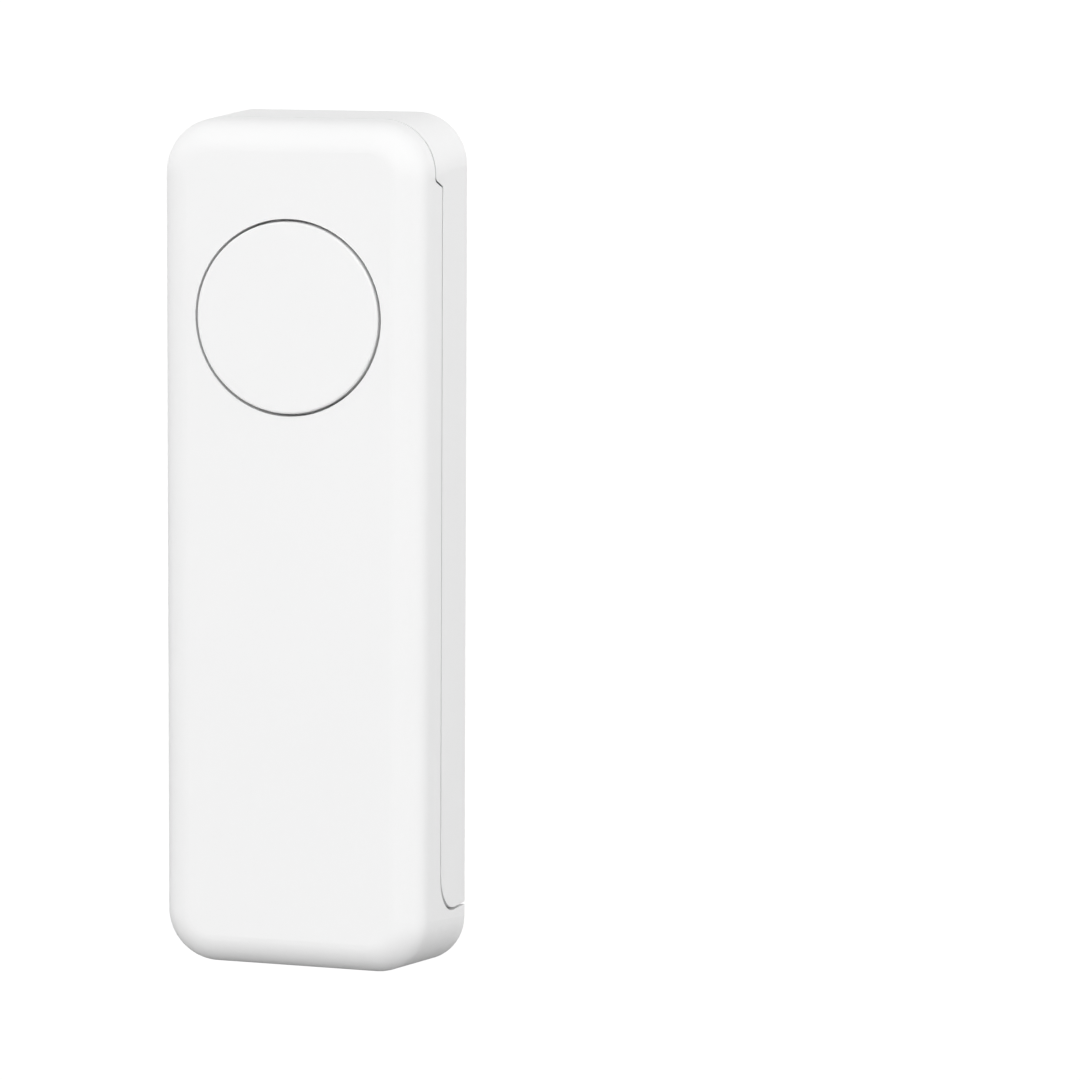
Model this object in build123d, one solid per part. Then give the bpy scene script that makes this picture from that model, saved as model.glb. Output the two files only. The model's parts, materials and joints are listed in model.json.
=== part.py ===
import os

from build123d import *

# Wireless door contact sensor. X runs right as seen from the room, Y into the door, Z up.
# The origin is the centre of the adhesive pad's bonding face, so the door surface is y = 0.
# Depths are counted forward from the flat back of the rear cover.

# Outer shape
height = 80.0
width = 25.9
depth = 12.8
side_draft = 0.23
top_draft = 0.62
bottom_draft = 0.98
top_corner_back = 4.9
top_corner_front = 5.1
bottom_corner_back = 4.5
bottom_corner_front = 5.0
front_edge_radius = 2.9
wall = 1.3
back_wall = 1.5

# Parting line between front housing and rear cover
seam_depth = 6.5
step_depth = 8.35
ramp_low = 33.44
ramp_high = 34.1
ramp_low_fillet = 0.15
ramp_high_fillet = 0.5
cover_foot = -34.15
foot_radius = 3.7
seam_gap = 0.25
ramp_drop = 0.12

# Undercut behind the ramp's edge, on both sides
relief_start = 0.16
relief_reach = 1.6
relief_rise = 2.2

# Hinge line along the top edge and the hooks that turn about it
hinge_height = 39.6
bead_radius = 1.6
bead_length = 17.0
hook_inner = 1.7
hook_outer = 2.9
hook_width = 4.0
hook_spread = 6.0
hook_ceiling = 38.1

# Adhesive pad
pad_width = 18.0
pad_height = 56.0
pad_corner = 2.0
pad_thickness = 1.0
pad_proud = 0.4
pad_margin = 0.2

# Button
button_height = 21.45
button_hole = 9.06
button_radius = 8.81
button_proud = 0.2
button_edge = 0.2
cap_thickness = 1.2
skirt_inner = 8.0
skirt_depth = 9.6
flange_radius = 9.7
flange_thickness = 0.6
collar_outer = 10.3
collar_depth = 10.3
post_radius = 1.5
post_depth = 9.05
cap_rib = 0.8
cap_rib_depth = 10.9

# Main board and its screws
board_width = 22.2
board_top = 36.0
board_bottom = -36.5
board_corner = 3.0
board_back = 6.0
board_thickness = 0.8
board_front = board_back + board_thickness
screw_places = ((-8.4, 33.4), (8.4, 33.4), (0.0, -33.8))
boss_radius = 1.9
pilot_radius = 0.75
pilot_length = 3.8
screw_radius = 0.7
screw_length = 4.2
screw_head = 1.6
screw_head_height = 0.9
screw_recess = 0.4
screw_recess_span = 1.9
board_hole = 0.9
rib_thickness = 0.8
rib_reach = 0.8
rib_root = 0.6
rib_levels = (6.0, -24.0)
rib_front = 10.2

# Lower lip of the cover and the shelf that meets it
lip_width = 16.0
lip_thickness = 1.0
lip_depth = 4.8

# Coin cell and its holder
cell_height = 8.0
cell_radius = 10.0
cell_back = 2.3
cell_can_length = 2.8
cell_sheet = 0.3
cell_cap_radius = 8.9
cell_cap_front = 5.5
holder_inner = 10.15
holder_outer = 10.9
holder_back = 2.7
holder_floor = 0.4
holder_window = 6.5
finger_notch = 8.0
clip_width = 5.0
clip_sheet = 0.25
clip_lap = 1.6
clip_gap = 0.05
clip_rim_gap = 0.2
contact_sheet = 0.2
contact_radius = 4.5
contact_slot = (5.0, 3.4)
contact_slot_shift = 1.0
tongue_width = 2.6
tongue_start = -2.0
tongue_bend = -1.0
tongue_rise_end = 1.6
tongue_end = 2.8

# Push switch under the button
switch_side = 5.6
switch_base_height = 1.0
switch_floor = 0.2
switch_well = 1.9
frame_sheet = 0.2
frame_hole = 1.56
stem_radius = 1.5
stem_flange = 1.8
stem_flange_depth = 7.45
stem_flange_thickness = 0.3
stem_front = 9.0
dome_radius = 1.7
dome_rise = 0.42
dome_sheet = 0.08
stem_edge = 0.2
terminal_length = 1.2
terminal_width = 0.7
terminal_spread = 2.0

# Tamper switch
tamper_place = (6.5, -29.0)
tamper_width = 3.6
tamper_height = 3.0
tamper_back = 4.2
tamper_bore = 0.85
tamper_well = 1.2
tamper_shoulder = 0.4
plunger_radius = 0.8
plunger_back = 2.65
plunger_flange = 1.1
plunger_flange_depth = 5.45
plunger_flange_thickness = 0.3
tamper_boss_radius = 1.3
tamper_boss_depth = 2.6

# Reed switch
reed_place = (9.0, -6.0)
reed_axis_depth = 8.1
reed_radius = 1.0
reed_length = 12.0
reed_wall = 0.25
reed_end_rounding = 0.8
lead_radius = 0.25
lead_bore = 0.27
lead_reach = 1.8
blade_width = 0.7
blade_thickness = 0.12
blade_overlap = 1.0
blade_offset = 0.11

# Radio module
module_place = (-3.2, -20.5)
module_width = 12.0
module_height = 17.0
module_thickness = 0.6
module_front = board_front + module_thickness
shield_width = 10.6
shield_height = 10.8
shield_rise = 1.6
shield_drop = 2.6
shield_sheet = 0.2
trace_width = 0.5
trace_thickness = 0.05
trace_pitch = 1.6
trace_turns = 6
trace_rise = 3.4
trace_margin = 0.8

# Small parts on the board
capacitor_places = ((-8.8, 2.0), (-8.8, -1.0), (-8.8, -4.0), (-2.6, -8.6), (0.4, -8.6))
resistor_places = ((-5.4, -1.6), (-5.4, -4.6), (-2.2, -1.6), (-2.2, -4.6), (-6.2, 14.6), (3.6, -8.6))
chip_length = 1.6
chip_width = 0.8
capacitor_rise = 0.8
resistor_rise = 0.45
crystal_place = (-6.6, 7.0)
crystal_length = 3.2
crystal_width = 2.5
crystal_rise = 0.7
crystal_corner = 0.3
regulator_place = (-1.6, 5.0)
regulator_length = 2.9
regulator_width = 1.3
regulator_rise = 1.0
regulator_stand = 0.1
regulator_edge = 0.15
regulator_lead = 0.4
regulator_lead_reach = 0.55
regulator_lead_rise = 0.25
regulator_lead_spread = 0.95
buffer_place = (4.0, 3.6)
buffer_side = 5.3
buffer_base_height = 0.6
buffer_base_cut = 0.8
buffer_edge = 0.3
buffer_radius = 2.5
buffer_length = 3.2
led_place = (0.0, 15.2)
led_base_height = 0.3
led_lens_height = 0.35
led_lens_length = 1.1
led_lens_edge = 0.08
test_pad_radius = 0.6
test_pad_count = 5
test_pad_pitch = 3.0
test_pad_height = -20.0
test_pad_thickness = 0.05


def facing(at_depth):
    """Plane parallel to the door; local x is right, local y is up, normal points to the room."""
    return Plane(origin=(0, -pad_proud - at_depth, 0), x_dir=(1, 0, 0), z_dir=(0, -1, 0))


def sideways(at_x):
    """Upright plane across the door; local x is depth towards the room, local y is up."""
    return Plane(origin=(at_x, -pad_proud, 0), x_dir=(0, -1, 0), z_dir=(-1, 0, 0))


def slab(shape, start, end):
    """Extrudes a sketch drawn facing the room between two depths."""
    return extrude(facing(start) * shape, amount=end - start)


def disc(place, radius, start, end):
    return slab(Pos(*place) * Circle(radius), start, end)


def tile(place, across, up, start, end):
    return slab(Pos(*place) * Rectangle(across, up), start, end)


def outline(at_depth, inset):
    """Rounded outline of the drafted case at one depth."""
    share = at_depth / depth
    half = width / 2 - side_draft * share - inset
    top = height / 2 - top_draft * share - inset
    bottom = height / 2 - bottom_draft * share - inset
    top_corner = top_corner_back + (top_corner_front - top_corner_back) * share - inset
    bottom_corner = bottom_corner_back + (bottom_corner_front - bottom_corner_back) * share - inset
    shape = Pos(0, (top - bottom) / 2) * Rectangle(2 * half, top + bottom)
    shape = fillet(shape.vertices().group_by(Axis.Y)[-1], top_corner)
    shape = fillet(shape.vertices().group_by(Axis.Y)[0], bottom_corner)
    return facing(at_depth) * shape


def envelope(inset, start, end):
    """Case shape inset by a wall, between two depths, with its front edge rounded."""
    body = loft([outline(start, inset), outline(end, inset)], ruled=True)
    return fillet(body.edges().group_by(Axis.Y)[0], front_edge_radius - inset)


def case():
    return envelope(0, 0, depth)


def cavity():
    return envelope(wall, back_wall, depth - wall)


def seam_profile(gap, drop):
    """Side view of everything behind the parting line, grown forward by a gap and down by a drop."""
    low = cover_foot - gap
    foot = (seam_depth + gap, low)
    ramp_start = (seam_depth + gap, ramp_low - drop)
    ramp_end = (step_depth + gap, ramp_high - drop)
    ceiling = ((step_depth + gap, height), (-depth, height))
    profile = make_face(Polyline((-depth, low), foot, ramp_start, ramp_end, *ceiling, close=True))
    corners = ((foot, foot_radius), (ramp_start, ramp_low_fillet), (ramp_end, ramp_high_fillet))
    for corner, radius in corners:
        profile = fillet(profile.vertices().sort_by_distance(corner)[0], radius)
    return profile


def seam_zone(profile):
    return extrude(sideways(0) * profile, amount=width, both=True)


def cover_zone():
    return seam_zone(seam_profile(0, 0))


def cover_clearance():
    """Room that the housing leaves for the cover."""
    return seam_zone(seam_profile(seam_gap, ramp_drop))


def ramp_relief(side):
    """Undercut behind the cover's ramp edge, so that the gap there opens up towards the inside."""
    run = Vector(0, seam_depth - step_depth, ramp_high - ramp_low)
    edge = Vector(side * (width / 2 - relief_start), -pad_proud - seam_depth, ramp_low)
    inward = -side * relief_reach
    wedge = make_face(Polyline((0, 0), (inward, 0), (inward, relief_rise), close=True))
    return extrude(Plane(origin=edge, x_dir=(1, 0, 0), z_dir=run) * wedge, amount=run.length)


def hinge_bead():
    """Half-round rib under the cover's top edge that the hooks turn about."""
    bead = Pos(step_depth, hinge_height) * Circle(bead_radius)
    return extrude(sideways(0) * bead, amount=bead_length / 2, both=True) & case()


def hinge_hook(at_x):
    """Curved hook around the hinge line."""
    ring = Circle(hook_outer) - Circle(hook_inner)
    ring = Pos(step_depth, hinge_height) * ring
    keep = Pos(step_depth, hook_ceiling - hook_outer) * Rectangle(4 * hook_outer, 2 * hook_outer)
    return extrude(sideways(at_x) * (ring & keep), amount=hook_width / 2, both=True)


def pad_outline(margin):
    return RectangleRounded(pad_width + 2 * margin, pad_height + 2 * margin, pad_corner + margin)


def rear_cover():
    shell = (case() - cavity() + hinge_bead()) & cover_zone()
    recess = slab(pad_outline(pad_margin), 0, pad_thickness - pad_proud)
    lip = tile((0, cover_foot + lip_thickness / 2), lip_width, lip_thickness, back_wall, lip_depth)
    boss = disc(tamper_place, tamper_boss_radius, back_wall, tamper_boss_depth)
    return shell - recess - ramp_relief(-1) - ramp_relief(1) + lip + boss


def adhesive_pad():
    return slab(pad_outline(0), -pad_proud, pad_thickness - pad_proud)


def board_ribs():
    """Ribs on both side walls that the board's front face rests on."""
    middle = width / 2 - wall + (rib_root - rib_reach) / 2
    ribs = []
    for side in (-1, 1):
        for level in rib_levels:
            rib_place = (side * middle, level)
            ribs.append(tile(rib_place, rib_reach + rib_root, rib_thickness, board_front, rib_front))
    return ribs


def front_housing():
    shell = case() - cavity() - cover_clearance()
    button_place = (0, button_height)
    collar = disc(button_place, collar_outer, collar_depth, depth - wall)
    shelf_middle = cover_foot - seam_gap - lip_thickness / 2
    shelf = tile((0, shelf_middle), lip_width, lip_thickness, back_wall, lip_depth)
    body = shell + collar + shelf + hinge_hook(-hook_spread) + hinge_hook(hook_spread)
    for rib in board_ribs():
        body = body + rib
    for place in screw_places:
        body = body + disc(place, boss_radius, board_front, depth - wall)
        body = body - disc(place, pilot_radius, board_front, board_front + pilot_length)
    return body - disc(button_place, button_hole, 0, depth + wall)


def button_cap():
    place = (0, button_height)
    face = depth + button_proud
    plate_back = face - cap_thickness
    body = disc(place, button_radius, skirt_depth, face)
    body = fillet(body.edges().group_by(Axis.Y)[0], button_edge)
    body = body + disc(place, flange_radius, skirt_depth, skirt_depth + flange_thickness)
    body = body - disc(place, skirt_inner, skirt_depth, plate_back)
    body = body + disc(place, post_radius, post_depth, plate_back)
    body = body + tile(place, 2 * skirt_inner, cap_rib, cap_rib_depth, plate_back)
    return body + tile(place, cap_rib, 2 * skirt_inner, cap_rib_depth, plate_back)


def main_board():
    shape = RectangleRounded(board_width, board_top - board_bottom, board_corner)
    shape = Pos(0, (board_top + board_bottom) / 2) * shape
    for place in screw_places:
        shape = shape - Pos(*place) * Circle(board_hole)
    return slab(shape, board_back, board_front)


def board_screw(place):
    head_back = board_back - screw_head_height
    head = disc(place, screw_head, head_back, board_back)
    head = fillet(head.edges().group_by(Axis.Y)[-1], screw_head_height / 3)
    recess_end = head_back + screw_head_height / 2
    head = head - tile(place, screw_recess, screw_recess_span, head_back, recess_end)
    head = head - tile(place, screw_recess_span, screw_recess, head_back, recess_end)
    return head + disc(place, screw_radius, board_back, board_back + screw_length)


def board_screws():
    return [board_screw(place) for place in screw_places]


def battery_holder():
    place = (0, cell_height)
    body = disc(place, holder_outer, holder_back, board_back)
    body = body - disc(place, holder_inner, holder_back, board_back - holder_floor)
    body = body - disc(place, holder_window, holder_back, board_back)
    notch_place = (0, cell_height - holder_outer)
    notch = tile(notch_place, finger_notch, holder_outer, holder_back, board_back - holder_floor)
    slot_width = clip_width + 4 * clip_sheet
    slot_place = (0, cell_height + holder_outer)
    slot = tile(slot_place, slot_width, 2 * (holder_outer - cell_radius), holder_back, board_back)
    return body - notch - slot


def positive_clip():
    """Bent strip that reaches round the cell's rim and over its outer face."""
    back = cell_back - clip_sheet - clip_gap
    inside = cell_height + cell_radius + clip_rim_gap
    upright = tile((0, inside + clip_sheet / 2), clip_width, clip_sheet, back, board_back)
    lap_middle = inside + clip_sheet - (clip_lap + clip_sheet) / 2
    lap = tile((0, lap_middle), clip_width, clip_lap + clip_sheet, back, back + clip_sheet)
    foot_middle = inside + clip_lap / 2
    foot = tile((0, foot_middle), clip_width, clip_lap, board_back - clip_sheet, board_back)
    return upright + lap + foot


def negative_contact():
    """Round plate on the board with a raised tongue that touches the cell's cap."""
    place = (0, cell_height)
    plate_back = board_back - contact_sheet
    plate = disc(place, contact_radius, plate_back, board_back)
    plate = plate - tile((contact_slot_shift, cell_height), *contact_slot, plate_back, board_back)
    root = board_back - contact_sheet / 2
    tip = cell_cap_front + contact_sheet / 2
    path = Plane(origin=(0, -pad_proud, cell_height), x_dir=(1, 0, 0), z_dir=(0, 0, 1))
    rise = ((tongue_bend, -root), (tongue_rise_end, -tip))
    spine = Polyline((tongue_start, -root), *rise, (tongue_end, -tip))
    strip = offset(spine, amount=contact_sheet / 2, side=Side.BOTH, closed=True)
    tongue = extrude(path * make_face(strip), amount=tongue_width / 2, both=True)
    return plate + tongue


def coin_cell_can():
    place = (0, cell_height)
    front = cell_back + cell_can_length
    body = disc(place, cell_radius, cell_back, front)
    body = fillet(body.edges().group_by(Axis.Y)[-1], cell_sheet)
    return body - disc(place, cell_radius - cell_sheet, cell_back + cell_sheet, front)


def coin_cell_gasket():
    place = (0, cell_height)
    start = cell_back + cell_sheet
    end = cell_back + cell_can_length + cell_sheet / 2
    return disc(place, cell_radius - cell_sheet, start, end) - disc(place, cell_cap_radius, start, end)


def coin_cell_cap():
    body = disc((0, cell_height), cell_cap_radius, cell_back + cell_sheet, cell_cap_front)
    return fillet(body.edges().group_by(Axis.Y)[0], cell_sheet)


def switch_base():
    place = (0, button_height)
    top = board_front + switch_base_height
    body = tile(place, switch_side, switch_side, board_front, top)
    return body - disc(place, switch_well, board_front + switch_floor, top)


def switch_frame():
    place = (0, button_height)
    start = board_front + switch_base_height
    plate = tile(place, switch_side, switch_side, start, start + frame_sheet)
    plate = plate - disc(place, frame_hole, start, start + frame_sheet)
    end = start + frame_sheet
    for side in (-1, 1):
        middle = (side * (switch_side + frame_sheet) / 2, button_height)
        plate = plate + tile(middle, frame_sheet, switch_side, board_front + switch_floor, end)
    return plate


def switch_terminals():
    legs = []
    end = board_front + switch_floor
    for side in (-1, 1):
        for level in (-1, 1):
            middle = side * (switch_side + terminal_length) / 2
            place = (middle, button_height + level * terminal_spread)
            legs.append(tile(place, terminal_length, terminal_width, board_front, end))
    return legs


def switch_dome():
    """Thin domed disc with its rim on the floor of the switch well."""
    outer_ball = (dome_radius**2 + dome_rise**2) / (2 * dome_rise)
    floor_depth = board_front + switch_floor
    centre_depth = floor_depth + dome_rise - outer_ball
    centre = Pos(0, -pad_proud - centre_depth, button_height)
    shell = centre * Sphere(outer_ball) - centre * Sphere(outer_ball - dome_sheet)
    return shell & disc((0, button_height), dome_radius, floor_depth, floor_depth + 2 * dome_rise)


def switch_stem():
    place = (0, button_height)
    flange_end = stem_flange_depth + stem_flange_thickness
    body = disc(place, stem_radius, stem_flange_depth, stem_front)
    body = fillet(body.edges().group_by(Axis.Y)[0], stem_edge)
    return body + disc(place, stem_flange, stem_flange_depth, flange_end)


def tamper_base():
    body = tile(tamper_place, tamper_width, tamper_height, tamper_back, board_back)
    body = body - disc(tamper_place, tamper_bore, tamper_back, board_back)
    return body - disc(tamper_place, tamper_well, tamper_back + tamper_shoulder, board_back)


def tamper_plunger():
    flange_end = plunger_flange_depth + plunger_flange_thickness
    body = disc(tamper_place, plunger_radius, plunger_back, flange_end)
    body = fillet(body.edges().group_by(Axis.Y)[-1], plunger_radius / 2)
    return body + disc(tamper_place, plunger_flange, plunger_flange_depth, flange_end)


def upright_rod(place, axis_depth, radius, low, high):
    """Round rod standing upright at a given depth."""
    base = Plane(origin=(place[0], -pad_proud - axis_depth, place[1] + low), z_dir=(0, 0, 1))
    return extrude(base * Circle(radius), amount=high - low)


def capsule(radius, length):
    """Round-ended upright rod at the reed switch's place."""
    half = length / 2
    body = upright_rod(reed_place, reed_axis_depth, radius, -half, half)
    ends = body.edges().filter_by(GeomType.CIRCLE)
    return fillet(ends, radius * reed_end_rounding)


def reed_glass():
    bore = upright_rod(reed_place, reed_axis_depth, lead_bore, -reed_length, reed_length)
    inside = capsule(reed_radius - reed_wall, reed_length - 4 * reed_wall)
    return capsule(reed_radius, reed_length) - inside - bore


def reed_lead(side):
    """Wire out of one end of the glass and down to the board, with its flat blade inside."""
    end = side * (reed_length / 2 + lead_reach)
    entry = side * (reed_length / 2 - 2 * reed_wall - lead_radius)
    wire = upright_rod(reed_place, reed_axis_depth, lead_radius, min(entry, end), max(entry, end))
    drop = disc((reed_place[0], reed_place[1] + end), lead_radius, board_front, reed_axis_depth)
    knee = Pos(reed_place[0], -pad_proud - reed_axis_depth, reed_place[1] + end) * Sphere(lead_radius)
    blade_end = -side * blade_overlap / 2
    middle = (reed_place[0], reed_place[1] + (entry + blade_end) / 2)
    level = reed_axis_depth + side * blade_offset
    blade_length = abs(entry - blade_end) + lead_radius
    start = level - blade_thickness / 2
    blade = tile(middle, blade_width, blade_length, start, start + blade_thickness)
    return wire + drop + knee + blade


def reed_leads():
    return [reed_lead(-1), reed_lead(1)]


def radio_board():
    return tile(module_place, module_width, module_height, board_front, module_front)


def radio_shield():
    """Folded metal can, open towards the module."""
    place = (module_place[0], module_place[1] - shield_drop)
    top = module_front + shield_rise
    body = tile(place, shield_width, shield_height, module_front, top)
    body = fillet(body.edges().group_by(Axis.Y)[0], shield_sheet)
    inner_width = shield_width - 2 * shield_sheet
    inner_height = shield_height - 2 * shield_sheet
    return body - tile(place, inner_width, inner_height, module_front, top - shield_sheet)


def radio_antenna():
    """Square meander printed on the module above the shield."""
    left = module_place[0] - trace_pitch * (trace_turns - 1) / 2
    low = module_place[1] + module_height / 2 - trace_rise - trace_margin
    end = module_front + trace_thickness
    trace = tile((left, low + trace_rise / 2), trace_width, trace_rise, module_front, end)
    for turn in range(1, trace_turns):
        across = left + turn * trace_pitch
        link_level = low + (trace_rise - trace_width / 2 if turn % 2 else trace_width / 2)
        link_place = (across - trace_pitch / 2, link_level)
        trace = trace + tile(link_place, trace_pitch + trace_width, trace_width, module_front, end)
        trace = trace + tile((across, low + trace_rise / 2), trace_width, trace_rise, module_front, end)
    return trace


def chip_capacitors():
    top = board_front + capacitor_rise
    return [tile(place, chip_length, chip_width, board_front, top) for place in capacitor_places]


def chip_resistors():
    top = board_front + resistor_rise
    return [tile(place, chip_length, chip_width, board_front, top) for place in resistor_places]


def crystal():
    body = tile(crystal_place, crystal_length, crystal_width, board_front, board_front + crystal_rise)
    return fillet(body.edges().filter_by(Axis.Y), crystal_corner)


def regulator_body():
    start = board_front + regulator_stand
    body = tile(regulator_place, regulator_length, regulator_width, start, start + regulator_rise)
    return chamfer(body.edges().group_by(Axis.Y)[0], regulator_edge)


def regulator_leads():
    """Three flat leads that leave the body's long sides and rest on the board."""
    across = (regulator_width + regulator_lead_reach) / 2
    spread = regulator_lead_spread
    end = board_front + regulator_lead_rise
    leads = []
    for shift, rise in ((-spread, -across), (spread, -across), (0, across)):
        place = (regulator_place[0] + shift, regulator_place[1] + rise)
        leads.append(tile(place, regulator_lead, regulator_lead_reach, board_front, end))
    return leads


def buffer_base():
    body = tile(buffer_place, buffer_side, buffer_side, board_front, board_front + buffer_base_height)
    return chamfer(body.edges().filter_by(Axis.Y).group_by(Axis.X)[-1], buffer_base_cut)


def buffer_can():
    start = board_front + buffer_base_height
    body = disc(buffer_place, buffer_radius, start, start + buffer_length)
    return fillet(body.edges().group_by(Axis.Y)[0], buffer_edge)


def led_base():
    return tile(led_place, chip_length, chip_width, board_front, board_front + led_base_height)


def led_lens():
    start = board_front + led_base_height
    body = tile(led_place, led_lens_length, chip_width, start, start + led_lens_height)
    return chamfer(body.edges().group_by(Axis.Y)[0], led_lens_edge)


def test_pads():
    first = -test_pad_pitch * (test_pad_count - 1) / 2
    places = [(first + index * test_pad_pitch, test_pad_height) for index in range(test_pad_count)]
    start = board_back - test_pad_thickness
    return [disc(place, test_pad_radius, start, board_back) for place in places]


sub_parts = {
    "rear_cover": rear_cover,
    "adhesive_pad": adhesive_pad,
    "front_housing": front_housing,
    "button_cap": button_cap,
    "main_board": main_board,
    "board_screws": board_screws,
    "battery_holder": battery_holder,
    "positive_clip": positive_clip,
    "negative_contact": negative_contact,
    "coin_cell_can": coin_cell_can,
    "coin_cell_gasket": coin_cell_gasket,
    "coin_cell_cap": coin_cell_cap,
    "switch_base": switch_base,
    "switch_frame": switch_frame,
    "switch_terminals": switch_terminals,
    "switch_dome": switch_dome,
    "switch_stem": switch_stem,
    "tamper_base": tamper_base,
    "tamper_plunger": tamper_plunger,
    "reed_glass": reed_glass,
    "reed_leads": reed_leads,
    "radio_board": radio_board,
    "radio_shield": radio_shield,
    "radio_antenna": radio_antenna,
    "chip_capacitors": chip_capacitors,
    "chip_resistors": chip_resistors,
    "crystal": crystal,
    "regulator_body": regulator_body,
    "regulator_leads": regulator_leads,
    "buffer_base": buffer_base,
    "buffer_can": buffer_can,
    "led_base": led_base,
    "led_lens": led_lens,
    "test_pads": test_pads,
}

os.makedirs("parts", exist_ok=True)
for name, build in sub_parts.items():
    shape = build()
    if isinstance(shape, list):
        shape = Compound(children=shape)
    export_step(shape, "parts/" + name + ".step")
    print(name, len(shape.solids()), shape.is_valid, round(shape.volume, 3))
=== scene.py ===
import json
import math

import bpy
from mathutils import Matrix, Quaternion, Vector


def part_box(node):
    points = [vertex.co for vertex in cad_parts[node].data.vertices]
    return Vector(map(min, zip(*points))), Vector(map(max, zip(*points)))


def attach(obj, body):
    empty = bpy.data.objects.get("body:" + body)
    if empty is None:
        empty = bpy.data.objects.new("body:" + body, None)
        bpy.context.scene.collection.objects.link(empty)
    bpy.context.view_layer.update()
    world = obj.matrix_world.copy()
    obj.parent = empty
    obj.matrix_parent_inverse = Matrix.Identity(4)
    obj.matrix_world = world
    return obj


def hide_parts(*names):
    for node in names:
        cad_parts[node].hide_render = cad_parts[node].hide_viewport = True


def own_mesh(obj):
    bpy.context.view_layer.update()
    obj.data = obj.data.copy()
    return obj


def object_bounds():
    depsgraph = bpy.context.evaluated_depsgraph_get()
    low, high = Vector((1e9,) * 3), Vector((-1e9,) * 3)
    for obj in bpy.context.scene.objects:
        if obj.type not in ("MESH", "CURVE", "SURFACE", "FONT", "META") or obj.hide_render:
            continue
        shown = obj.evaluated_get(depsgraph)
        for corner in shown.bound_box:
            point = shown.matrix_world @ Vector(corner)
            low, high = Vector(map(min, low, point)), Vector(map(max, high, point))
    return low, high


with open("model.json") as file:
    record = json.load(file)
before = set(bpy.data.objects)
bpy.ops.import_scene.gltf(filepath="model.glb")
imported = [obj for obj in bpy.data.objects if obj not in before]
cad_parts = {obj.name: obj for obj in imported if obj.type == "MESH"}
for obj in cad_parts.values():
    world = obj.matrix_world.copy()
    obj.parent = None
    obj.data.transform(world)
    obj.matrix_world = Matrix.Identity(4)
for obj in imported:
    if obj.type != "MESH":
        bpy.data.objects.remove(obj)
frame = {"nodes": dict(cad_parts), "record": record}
cad_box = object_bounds()

MM = 0.001

# Camera, at the photograph's viewing angle
CAMERA_PLACE = Vector((164.8, -448.8, 55.87)) * MM
CAMERA_AZIMUTH = 17.87
CAMERA_ELEVATION = 6.71
CAMERA_ROLL = 0.3
CAMERA_LENS = 169.95
SENSOR_WIDTH = 36.0
CLIP_NEAR = 0.01
CLIP_FAR = 50.0

# Stage
FLOOR_DROP = 300 * MM
FLOOR_SIZE = 12.0
FLOOR_BOUNCE = 0.155
FLOOR_ROUGHNESS = 0.9
PAPER_WHITE = 1.05
SKY_TOP = 0.745
SKY_LOW = 2.32
SKY_SPREAD = 0.5
SOFTBOX_DISTANCE = 0.9

# Length over which Blender's wave texture repeats at a scale of 1
WAVE_PERIOD = math.pi / 10

CASE_IOR = 1.46
GLASS_IOR = 1.5


def linear(value):
    """Linear light for a grey or colour level given from 0 to 255."""
    share = value / 255
    return share / 12.92 if share <= 0.04045 else ((share + 0.055) / 1.055) ** 2.4


def colour(red, green, blue):
    return (linear(red), linear(green), linear(blue), 1.0)


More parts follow.
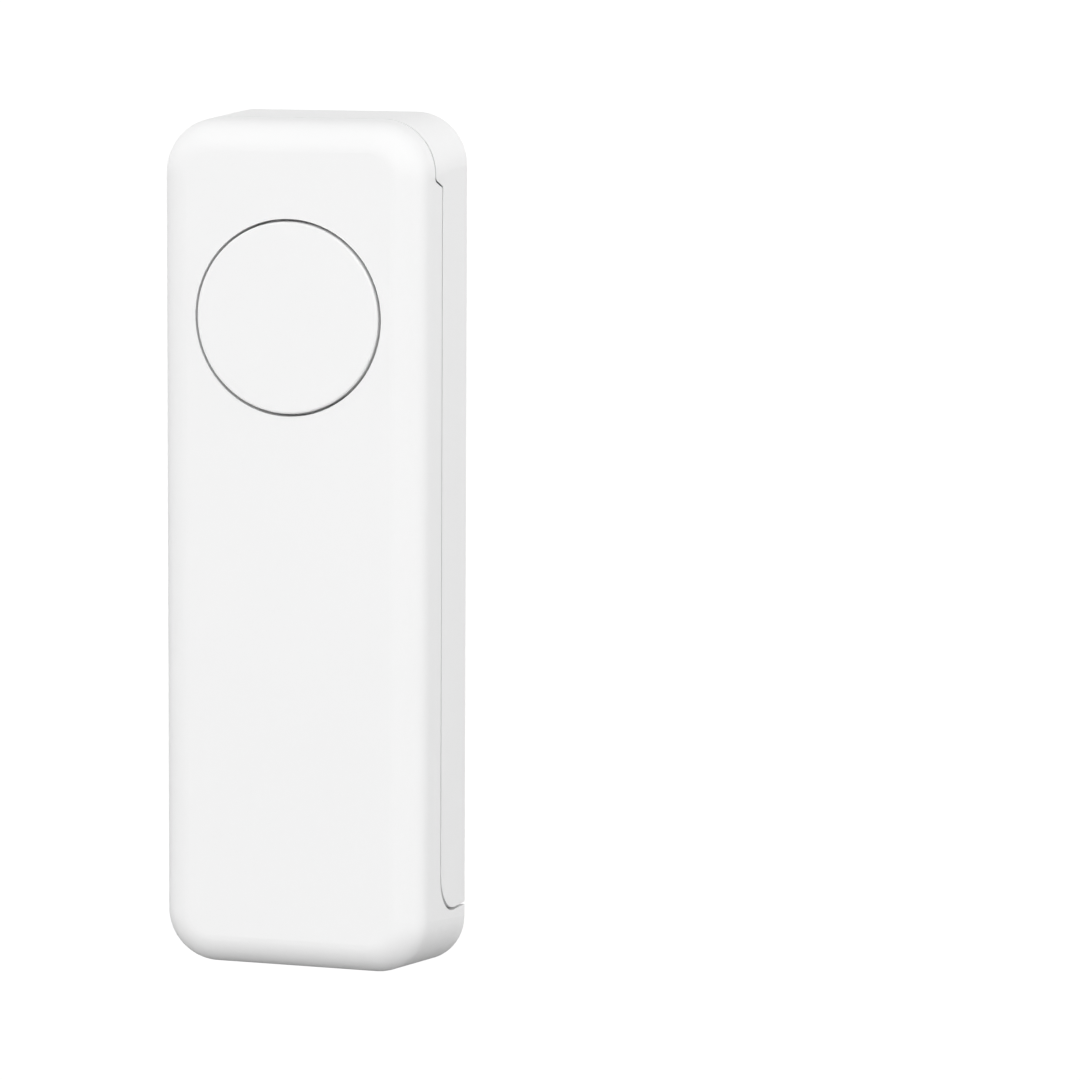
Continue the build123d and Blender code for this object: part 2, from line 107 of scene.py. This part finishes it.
class Shade:
    """A procedural material: one Principled shader and the textures that feed it."""

    def __init__(self, name):
        self.material = bpy.data.materials.new(name)
        self.material.use_nodes = True
        self.tree = self.material.node_tree
        self.shader = self.tree.nodes["Principled BSDF"]
        coordinates = self.tree.nodes.new("ShaderNodeTexCoord")
        self.place = coordinates.outputs["Object"]
        self.along = coordinates.outputs["Normal"]

    def node(self, kind, **settings):
        made = self.tree.nodes.new(kind)
        for key, value in settings.items():
            setattr(made, key, value)
        return made

    def join(self, source, target):
        self.tree.links.new(source, target)

    def set(self, **sockets):
        for key, value in sockets.items():
            self.shader.inputs[key.replace("_", " ")].default_value = value

    def noise(self, per_mm, detail=3.0, stretch=(1, 1, 1)):
        """Cloudy pattern with about this many cells per millimetre."""
        mapping = self.node("ShaderNodeMapping")
        mapping.inputs["Scale"].default_value = stretch
        self.join(self.place, mapping.inputs["Vector"])
        texture = self.node("ShaderNodeTexNoise")
        texture.inputs["Scale"].default_value = per_mm / MM
        texture.inputs["Detail"].default_value = detail
        self.join(mapping.outputs["Vector"], texture.inputs["Vector"])
        return texture.outputs["Fac"]

    def ramp(self, source, low, high, start=0.0, end=1.0):
        made = self.node("ShaderNodeMapRange")
        made.inputs["From Min"].default_value = start
        made.inputs["From Max"].default_value = end
        made.inputs["To Min"].default_value = low
        made.inputs["To Max"].default_value = high
        self.join(source, made.inputs["Value"])
        return made.outputs["Result"]

    def step(self, source, level):
        """One where the source is above a level and nought below it."""
        made = self.node("ShaderNodeMath", operation="GREATER_THAN")
        made.inputs[1].default_value = level
        self.join(source, made.inputs[0])
        return made.outputs[0]

    def stripes(self, direction, pitch_mm):
        """Even lines across one direction, as wide as the spaces between them."""
        wave = self.node("ShaderNodeTexWave", bands_direction=direction)
        wave.inputs["Scale"].default_value = WAVE_PERIOD / (pitch_mm * MM)
        self.join(self.place, wave.inputs["Vector"])
        return self.ramp(wave.outputs["Fac"], 0.0, 1.0, 0.45, 0.55)

    def blend(self, factor, first, second):
        """Mix of two colours, each a plain colour or a socket."""
        made = self.node("ShaderNodeMix", data_type="RGBA")
        self.join(factor, made.inputs["Factor"])
        for name, value in (("A", first), ("B", second)):
            socket = next(s for s in made.inputs if s.name == name and s.type == "RGBA")
            if isinstance(value, tuple):
                socket.default_value = value
            else:
                self.join(value, socket)
        return next(s for s in made.outputs if s.type == "RGBA")

    def tint(self, factor, first, second):
        self.join(self.blend(factor, first, second), self.shader.inputs["Base Color"])

    def roughen(self, factor, low, high, start=0.3, end=0.7):
        self.join(self.ramp(factor, low, high, start, end), self.shader.inputs["Roughness"])

    def bump(self, height, depth_mm, strength=1.0):
        made = self.node("ShaderNodeBump")
        made.inputs["Strength"].default_value = strength
        made.inputs["Distance"].default_value = depth_mm * MM
        self.join(height, made.inputs["Height"])
        self.join(made.outputs["Normal"], self.shader.inputs["Normal"])


def moulded_plastic(name, dark, light, rough, grain_per_mm=7.0, grain_depth=0.004):
    """Moulded plastic with a fine spark-eroded grain and faint flow marks."""
    shade = Shade(name)
    flow_per_mm = 0.05
    sheen_per_mm = 0.4
    sheen_spread = 0.04
    shade.tint(shade.noise(flow_per_mm), dark, light)
    grain = shade.noise(grain_per_mm, detail=4.0)
    sheen = shade.noise(sheen_per_mm, detail=5.0)
    shade.roughen(sheen, rough - sheen_spread, rough + sheen_spread)
    shade.bump(grain, grain_depth)
    return shade


def case_plastic():
    dark = colour(241, 241, 241)
    light = colour(243, 243, 243)
    shade = moulded_plastic("case_plastic", dark, light, rough=0.5)
    shade.set(IOR=CASE_IOR)
    return shade.material


def button_plastic():
    dark = colour(241, 241, 241)
    light = colour(243, 243, 243)
    shade = moulded_plastic(
        "button_plastic", dark, light, rough=0.46, grain_per_mm=8.0, grain_depth=0.003
    )
    shade.set(IOR=CASE_IOR)
    return shade.material


def white_plastic():
    dark = colour(226, 224, 219)
    light = colour(234, 232, 228)
    return moulded_plastic("white_plastic", dark, light, rough=0.42).material


def black_plastic():
    dark = colour(26, 26, 27)
    light = colour(36, 36, 38)
    shade = moulded_plastic(
        "black_plastic", dark, light, rough=0.5, grain_per_mm=9.0, grain_depth=0.006
    )
    return shade.material


def gasket_plastic():
    dark = colour(60, 60, 63)
    light = colour(74, 74, 76)
    return moulded_plastic("gasket_plastic", dark, light, rough=0.55).material


def foam_tape():
    """Closed-cell foam with an adhesive skin."""
    shade = Shade("foam_tape")
    cells_per_mm = 3.2
    cell_reach = 0.6
    cells = shade.node("ShaderNodeTexVoronoi")
    cells.inputs["Scale"].default_value = cells_per_mm / MM
    shade.join(shade.place, cells.inputs["Vector"])
    cell = cells.outputs["Distance"]
    hollow = shade.ramp(cell, 0.0, 1.0, 0.0, cell_reach)
    shade.tint(hollow, colour(206, 205, 200), colour(228, 227, 223))
    shade.roughen(shade.noise(0.8), 0.6, 0.8)
    shade.bump(cell, depth_mm=0.05)
    return shade.material


def circuit_board():
    """Green mask over copper: areas of tracks and of plain copper, with vias and a bare edge."""
    shade = Shade("circuit_board")
    areas_per_mm = 0.16
    track_pitch = 0.75
    turned_share = 0.5
    poured_share = 0.62
    vias_per_mm = 0.3
    via_scatter = 0.8
    via_reach = (0.09, 0.1)
    face_slope = 0.7
    weave = shade.noise(5.0, detail=2.0)
    areas = shade.node("ShaderNodeTexVoronoi", distance="CHEBYCHEV")
    areas.inputs["Scale"].default_value = areas_per_mm / MM
    shade.join(shade.place, areas.inputs["Vector"])
    pick = shade.node("ShaderNodeSeparateColor")
    shade.join(areas.outputs["Color"], pick.inputs["Color"])
    upright = shade.stripes("X", track_pitch)
    level = shade.stripes("Z", track_pitch)
    turned = shade.step(pick.outputs["Red"], turned_share)
    tracks = shade.blend(turned, upright, level)
    poured = shade.step(pick.outputs["Green"], poured_share)
    copper = shade.blend(poured, tracks, (1, 1, 1, 1))
    spots = shade.node("ShaderNodeTexVoronoi")
    spots.inputs["Scale"].default_value = vias_per_mm / MM
    spots.inputs["Randomness"].default_value = via_scatter
    shade.join(shade.place, spots.inputs["Vector"])
    via = shade.ramp(spots.outputs["Distance"], 1.0, 0.0, *via_reach)
    mask = shade.blend(weave, colour(20, 78, 45), colour(24, 86, 50))
    masked = shade.blend(copper, mask, colour(33, 104, 60))
    board = shade.blend(via, masked, colour(150, 160, 128))
    facing = shade.node("ShaderNodeSeparateXYZ")
    shade.join(shade.along, facing.inputs["Vector"])
    slope = shade.node("ShaderNodeMath", operation="ABSOLUTE")
    shade.join(facing.outputs["Y"], slope.inputs[0])
    flat = shade.step(slope.outputs[0], face_slope)
    shade.tint(flat, colour(150, 142, 86), board)
    shade.roughen(weave, 0.3, 0.42)
    shade.bump(copper, depth_mm=0.03)
    return shade.material


def sheet_metal(name, dark, light, rough, stretch=(1, 1, 1)):
    """Metal sheet with rolling or brushing lines along one direction."""
    shade = Shade(name)
    brush_per_mm = 12.0
    tarnish_per_mm = 0.3
    shade.set(Metallic=1.0)
    lines = shade.noise(brush_per_mm, detail=3.0, stretch=stretch)
    shade.tint(shade.noise(tarnish_per_mm), dark, light)
    shade.roughen(lines, rough - 0.06, rough + 0.08)
    shade.bump(lines, depth_mm=0.0004)
    return shade.material


def plated_steel():
    return sheet_metal("plated_steel", colour(176, 176, 172), colour(196, 195, 190), rough=0.34)


def spring_steel():
    dark = colour(190, 187, 176)
    light = colour(204, 201, 190)
    return sheet_metal("spring_steel", dark, light, rough=0.28, stretch=(1, 1, 0.1))


def cell_steel():
    """Satin stainless sheet turned in fine rings about the cell's middle."""
    shade = Shade("cell_steel")
    ring_pitch = 0.35
    shade.set(Metallic=1.0)
    low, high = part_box("coin_cell_can")
    centre = shade.node("ShaderNodeMapping")
    centre.inputs["Location"].default_value = -(Vector(low) + Vector(high)) / 2
    shade.join(shade.place, centre.inputs["Vector"])
    rings = shade.node("ShaderNodeTexWave", wave_type="RINGS", rings_direction="Y")
    rings.inputs["Scale"].default_value = WAVE_PERIOD / (ring_pitch * MM)
    rings.inputs["Distortion"].default_value = 1.5
    rings.inputs["Detail"].default_value = 4.0
    rings.inputs["Detail Scale"].default_value = 2.0
    shade.join(centre.outputs["Vector"], rings.inputs["Vector"])
    ring = rings.outputs["Fac"]
    shade.tint(shade.noise(0.25), colour(188, 188, 186), colour(202, 202, 200))
    shade.roughen(ring, 0.26, 0.36, 0.0, 1.0)
    shade.bump(ring, depth_mm=0.001)
    return shade.material


def shield_steel():
    dark = colour(192, 192, 188)
    light = colour(204, 204, 200)
    return sheet_metal("shield_steel", dark, light, rough=0.34, stretch=(0.1, 1, 1))


def tinned_copper():
    return sheet_metal("tinned_copper", colour(186, 184, 178), colour(206, 204, 198), rough=0.38)


def copper_trace():
    return sheet_metal("copper_trace", colour(226, 186, 106), colour(234, 198, 122), rough=0.34)


def can_aluminium():
    dark = colour(200, 201, 203)
    light = colour(214, 215, 217)
    return sheet_metal("can_aluminium", dark, light, rough=0.3, stretch=(1, 0.1, 1))


def fired_ceramic(name, dark, light, rough):
    shade = Shade(name)
    rough_spread = 0.06
    shade.tint(shade.noise(1.6, detail=4.0), dark, light)
    shade.roughen(shade.noise(4.0), rough - rough_spread, rough + rough_spread)
    shade.bump(shade.noise(9.0), depth_mm=0.004)
    return shade.material


def capacitor_ceramic():
    dark = colour(150, 122, 92)
    light = colour(172, 142, 108)
    return fired_ceramic("capacitor_ceramic", dark, light, rough=0.42)


def resistor_ceramic():
    dark = colour(22, 22, 24)
    light = colour(34, 34, 37)
    return fired_ceramic("resistor_ceramic", dark, light, rough=0.24)


def reed_glass():
    """Pale green glass tube with slight waviness from drawing."""
    shade = Shade("reed_glass")
    shade.set(Transmission_Weight=0.9, IOR=GLASS_IOR)
    shade.tint(shade.noise(0.4), colour(214, 232, 216), colour(224, 238, 226))
    shade.roughen(shade.noise(1.0), 0.03, 0.08)
    shade.bump(shade.noise(0.8, detail=2.0, stretch=(1, 1, 0.2)), depth_mm=0.01)
    return shade.material


def led_lens():
    shade = Shade("led_lens")
    shade.set(Transmission_Weight=0.6, IOR=GLASS_IOR)
    shade.tint(shade.noise(2.0), colour(238, 234, 206), colour(246, 243, 224))
    shade.roughen(shade.noise(3.0), 0.12, 0.2)
    shade.bump(shade.noise(6.0), depth_mm=0.002)
    return shade.material


def paint_nodes():
    """Gives each carried CAD node the material of its slot in the record."""
    plastics = (case_plastic, button_plastic, white_plastic, black_plastic, gasket_plastic)
    sheets = (foam_tape, circuit_board, plated_steel, spring_steel, cell_steel, shield_steel)
    metals = (tinned_copper, copper_trace, can_aluminium)
    others = (capacitor_ceramic, resistor_ceramic, reed_glass, led_lens)
    makers = plastics + sheets + metals + others
    materials = {maker.__name__: maker() for maker in makers}
    for part in frame["record"]["subparts"]:
        node = frame["nodes"][part["node"]]
        for place in node.material_slots:
            place.material = materials[part["material_slot"]]


def make_dome():
    """A copy of the switch's dome, carried by the front body in place of the CAD node."""
    node = frame["nodes"]["switch_dome"]
    dome = bpy.data.objects.new("pressed_dome", node.data.copy())
    bpy.context.scene.collection.objects.link(dome)
    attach(dome, "front")
    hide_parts("switch_dome")
    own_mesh(dome)


def emission(tree, strength):
    made = tree.nodes.new("ShaderNodeEmission")
    made.inputs["Color"].default_value = (1, 1, 1, 1)
    made.inputs["Strength"].default_value = strength
    return made


def make_floor():
    """Plain white floor that is pure white to the camera and throws little light back up."""
    lowest = cad_box[0].z
    bpy.ops.mesh.primitive_plane_add(size=FLOOR_SIZE, location=(0, 0, lowest - FLOOR_DROP))
    floor = bpy.context.object
    floor.name = "floor"
    material = bpy.data.materials.new("floor_paper")
    material.use_nodes = True
    tree = material.node_tree
    shader = tree.nodes["Principled BSDF"]
    shader.inputs["Base Color"].default_value = (FLOOR_BOUNCE, FLOOR_BOUNCE, FLOOR_BOUNCE, 1)
    shader.inputs["Roughness"].default_value = FLOOR_ROUGHNESS
    seen = tree.nodes.new("ShaderNodeLightPath").outputs["Is Camera Ray"]
    mix = tree.nodes.new("ShaderNodeMixShader")
    tree.links.new(seen, mix.inputs["Fac"])
    tree.links.new(shader.outputs["BSDF"], mix.inputs[1])
    tree.links.new(emission(tree, PAPER_WHITE).outputs["Emission"], mix.inputs[2])
    tree.links.new(mix.outputs["Shader"], tree.nodes["Material Output"].inputs["Surface"])
    floor.data.materials.append(material)


def make_world():
    """White backdrop to the camera; to the object, a soft sky that grows brighter downwards."""
    world = bpy.data.worlds.new("studio")
    bpy.context.scene.world = world
    world.use_nodes = True
    tree = world.node_tree
    sky = tree.nodes["Background"]
    direction = tree.nodes.new("ShaderNodeTexCoord").outputs["Generated"]
    split = tree.nodes.new("ShaderNodeSeparateXYZ")
    tree.links.new(direction, split.inputs["Vector"])
    rise = tree.nodes.new("ShaderNodeMapRange")
    rise.inputs["From Min"].default_value = -SKY_SPREAD
    rise.inputs["From Max"].default_value = SKY_SPREAD
    rise.inputs["To Min"].default_value = SKY_LOW
    rise.inputs["To Max"].default_value = SKY_TOP
    tree.links.new(split.outputs["Z"], rise.inputs["Value"])
    tree.links.new(rise.outputs["Result"], sky.inputs["Strength"])
    sky.inputs["Color"].default_value = (1, 1, 1, 1)
    paper = tree.nodes.new("ShaderNodeBackground")
    paper.inputs["Color"].default_value = (1, 1, 1, 1)
    paper.inputs["Strength"].default_value = PAPER_WHITE
    seen = tree.nodes.new("ShaderNodeLightPath").outputs["Is Camera Ray"]
    mix = tree.nodes.new("ShaderNodeMixShader")
    tree.links.new(seen, mix.inputs["Fac"])
    tree.links.new(sky.outputs["Background"], mix.inputs[1])
    tree.links.new(paper.outputs["Background"], mix.inputs[2])
    tree.links.new(mix.outputs["Shader"], tree.nodes["World Output"].inputs["Surface"])


def softbox(name, azimuth, size, radiance):
    """Square light level with the object; azimuth 0 is in front of it and 90 is to its right."""
    a = math.radians(azimuth)
    out = Vector((math.sin(a), -math.cos(a), 0))
    light = bpy.data.lights.new(name, "AREA")
    light.shape = "SQUARE"
    light.size = size
    light.energy = radiance * math.pi * math.pi * size * size / 4
    lamp = bpy.data.objects.new(name, light)
    lamp.location = out * SOFTBOX_DISTANCE
    lamp.rotation_mode = "QUATERNION"
    lamp.rotation_quaternion = (-out).to_track_quat("-Z", "Y")
    lamp.visible_camera = False
    bpy.context.scene.collection.objects.link(lamp)


def make_lights():
    softbox("front", azimuth=0, size=0.9, radiance=1.99)
    softbox("right", azimuth=95, size=0.8, radiance=1.52)
    softbox("left", azimuth=-80, size=0.8, radiance=0.2)


def make_camera():
    camera = bpy.data.objects.new("camera", bpy.data.cameras.new("camera"))
    bpy.context.scene.collection.objects.link(camera)
    a = math.radians(CAMERA_AZIMUTH)
    e = math.radians(CAMERA_ELEVATION)
    ahead = Vector((-math.sin(a) * math.cos(e), math.cos(a) * math.cos(e), -math.sin(e)))
    roll = Quaternion(ahead, math.radians(-CAMERA_ROLL))
    camera.location = CAMERA_PLACE
    camera.rotation_mode = "QUATERNION"
    camera.rotation_quaternion = roll @ ahead.to_track_quat("-Z", "Y")
    camera.data.sensor_width = SENSOR_WIDTH
    camera.data.lens = CAMERA_LENS
    camera.data.clip_start = CLIP_NEAR
    camera.data.clip_end = CLIP_FAR
    bpy.context.scene.camera = camera


paint_nodes()
make_dome()
make_floor()
make_world()
make_lights()
make_camera()
bpy.context.scene.view_settings.view_transform = "Standard"
